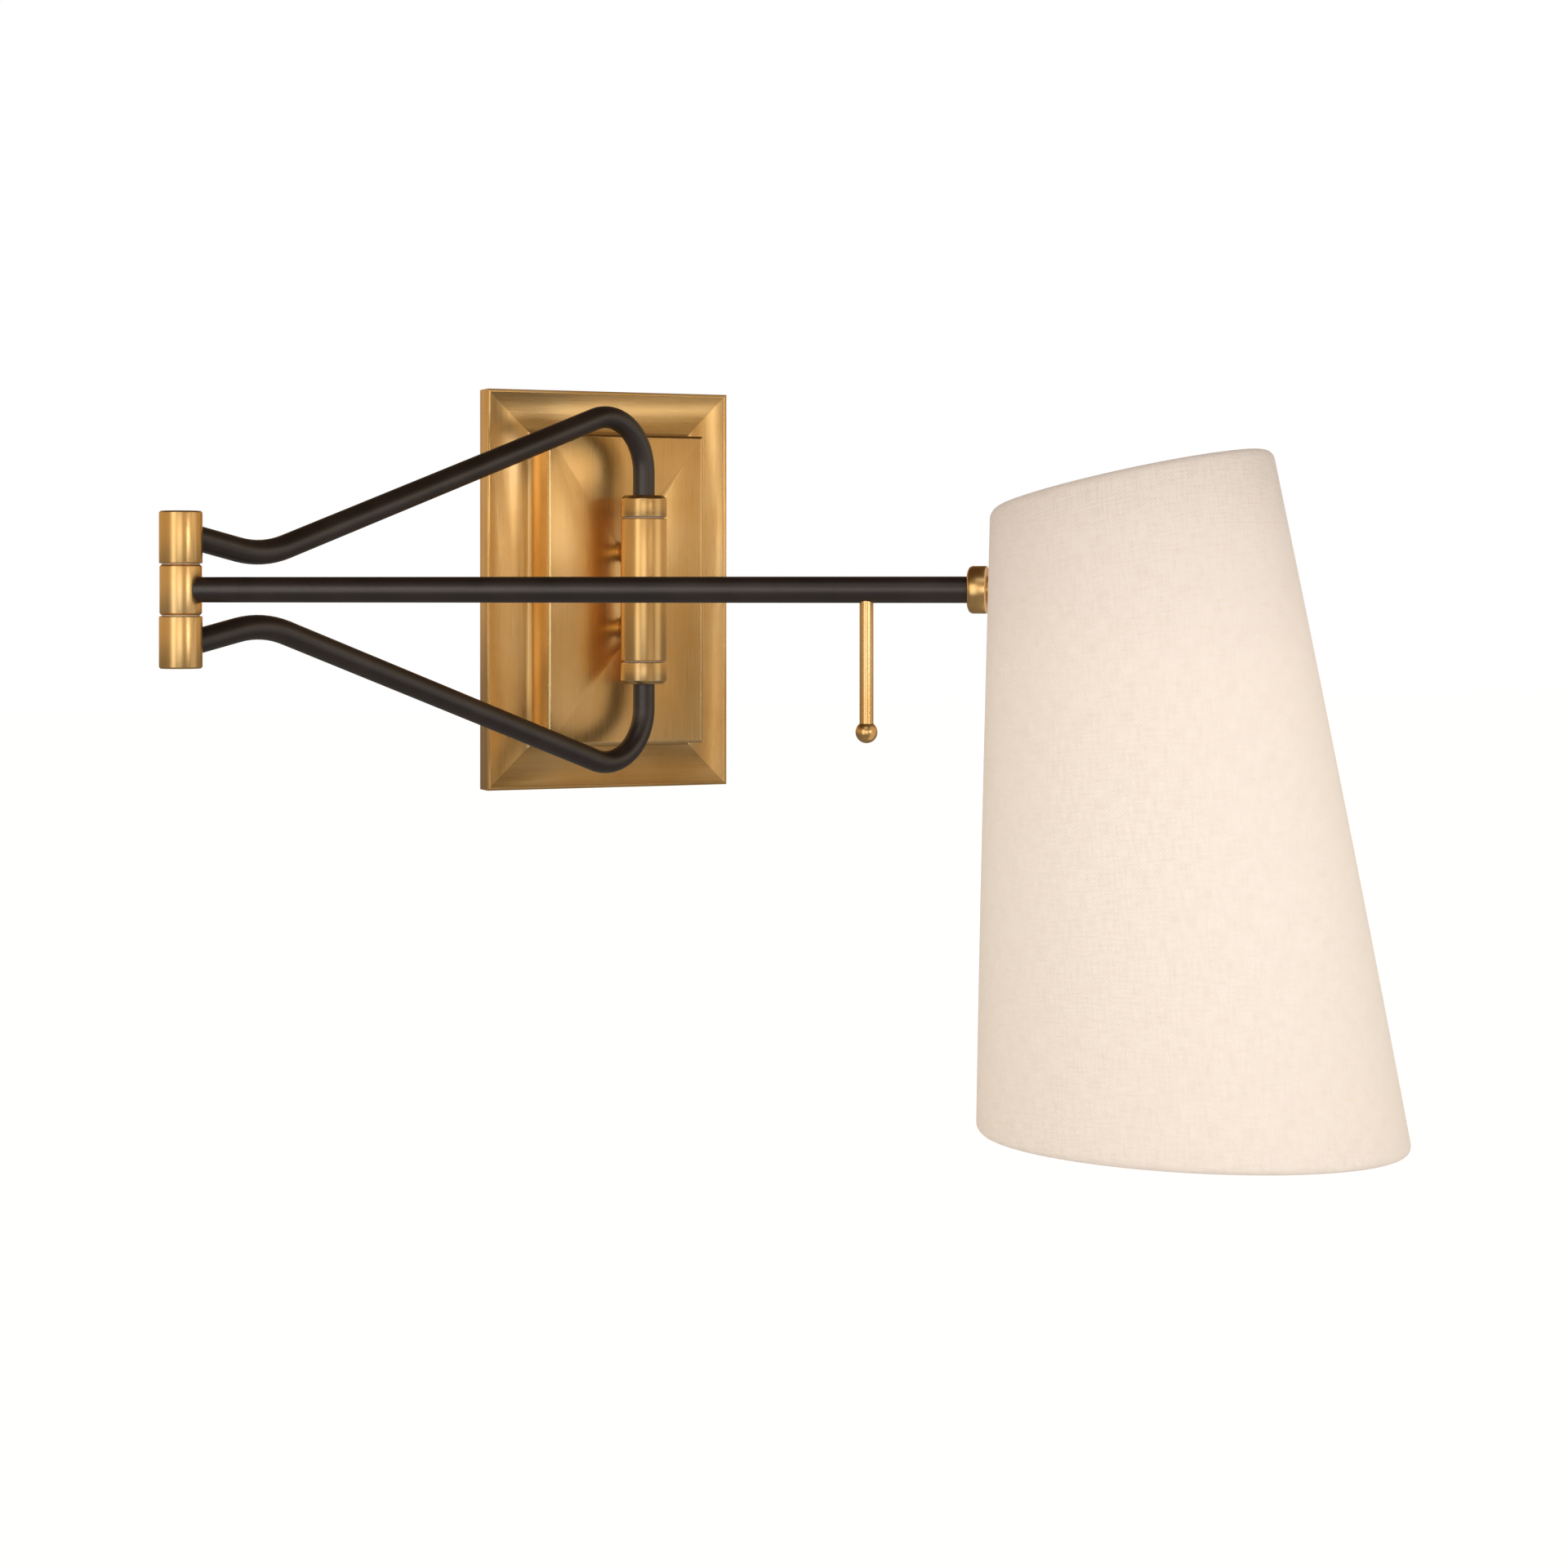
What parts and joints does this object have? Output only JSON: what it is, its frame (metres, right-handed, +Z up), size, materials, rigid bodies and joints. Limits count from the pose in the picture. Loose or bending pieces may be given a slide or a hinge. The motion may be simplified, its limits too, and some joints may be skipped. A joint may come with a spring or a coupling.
{
  "type": "swing arm wall sconce",
  "caption": "Wall lamp with a stepped rectangular plate, a forked swinging arm, a straight elbow arm with a guide handle, and a swivelling tapered linen shade.",
  "frame": {"origin": "centre of the wall plate's back face, on the wall", "axes": "+Z up, +Y out of the back of the plate into the wall, +X to the right seen from the room; the lamp reaches out towards -Y"},
  "size_m": [0.3934, 0.4506, 0.2849],
  "materials": {
    "brushed_brass": "hand rubbed antique brass, brushed, satin",
    "dark_bronze": "dark bronze patina, satin",
    "zinc_steel": "zinc plated",
    "green_screw": "green dyed zinc",
    "nylon": "natural moulded",
    "cable_sheath": "satin sheath",
    "fibre_liner": "pressed fibre",
    "porcelain": "glazed",
    "contact_copper": "bright stamped",
    "bulb_cap": "rolled thread",
    "bulb_glass": "frosted, lit",
    "linen": "fine plain weave linen",
    "shade_lining": "satin white lining"
  },
  "bodies": {
    "wall_mount": {"mounting_strap": "zinc_steel", "ground_screw": "green_screw", "wall_plate": "brushed_brass", "raised_panel": "brushed_brass", "set_screws": "brushed_brass", "wall_posts": "brushed_brass", "post_washers": "zinc_steel", "post_nuts": "brushed_brass", "pivot_barrel": "brushed_brass", "barrel_bushes": "nylon", "splice_connector": "nylon", "supply_cable": "cable_sheath"},
    "wishbone": {"upper_collar": "brushed_brass", "lower_collar": "brushed_brass", "pivot_pins": "zinc_steel", "pivot_clips": "zinc_steel", "upper_tube": "dark_bronze", "lower_tube": "dark_bronze", "upper_knuckle": "brushed_brass", "lower_knuckle": "brushed_brass", "elbow_pin": "zinc_steel", "wishbone_cable": "cable_sheath"},
    "arm": {"middle_knuckle": "brushed_brass", "elbow_bushes": "nylon", "arm_tube": "dark_bronze", "arm_cable": "cable_sheath", "handle_rod": "brushed_brass", "handle_ball": "brushed_brass", "ferrule": "brushed_brass"},
    "shade_head": {"swivel_stem": "brushed_brass", "shade_eyelet": "brushed_brass", "hanger_block": "brushed_brass", "hanger_nut": "brushed_brass", "fitter_spider": "brushed_brass", "lamp_cable": "cable_sheath", "socket_cap": "brushed_brass", "socket_shell": "brushed_brass", "socket_liner": "fibre_liner", "socket_base": "porcelain", "screw_shell": "contact_copper", "centre_contact": "contact_copper", "bulb_base": "bulb_cap", "bulb_glass": "bulb_glass", "top_ring": "zinc_steel", "bottom_ring": "zinc_steel", "shade_linen": "linen", "shade_liner": "shade_lining"}
  },
  "joints": [
    {"name": "wall_swing", "type": "hinge", "parent": "wall_mount", "child": "wishbone", "pos_m": [0, -0.056, 0], "axis": [0, 0, 1], "range_deg": [-26, 154]},
    {"name": "elbow_swing", "type": "hinge", "parent": "wishbone", "child": "arm", "pos_m": [-0.2247, -0.16559, 0], "axis": [0, 0, 1], "range_deg": [-271, 29]},
    {"name": "shade_tilt", "type": "hinge", "parent": "arm", "child": "shade_head", "pos_m": [0.02271, -0.32626, 0], "axis": [0.8387, -0.5446, 0], "range_deg": [-40, 40]}
  ]
}
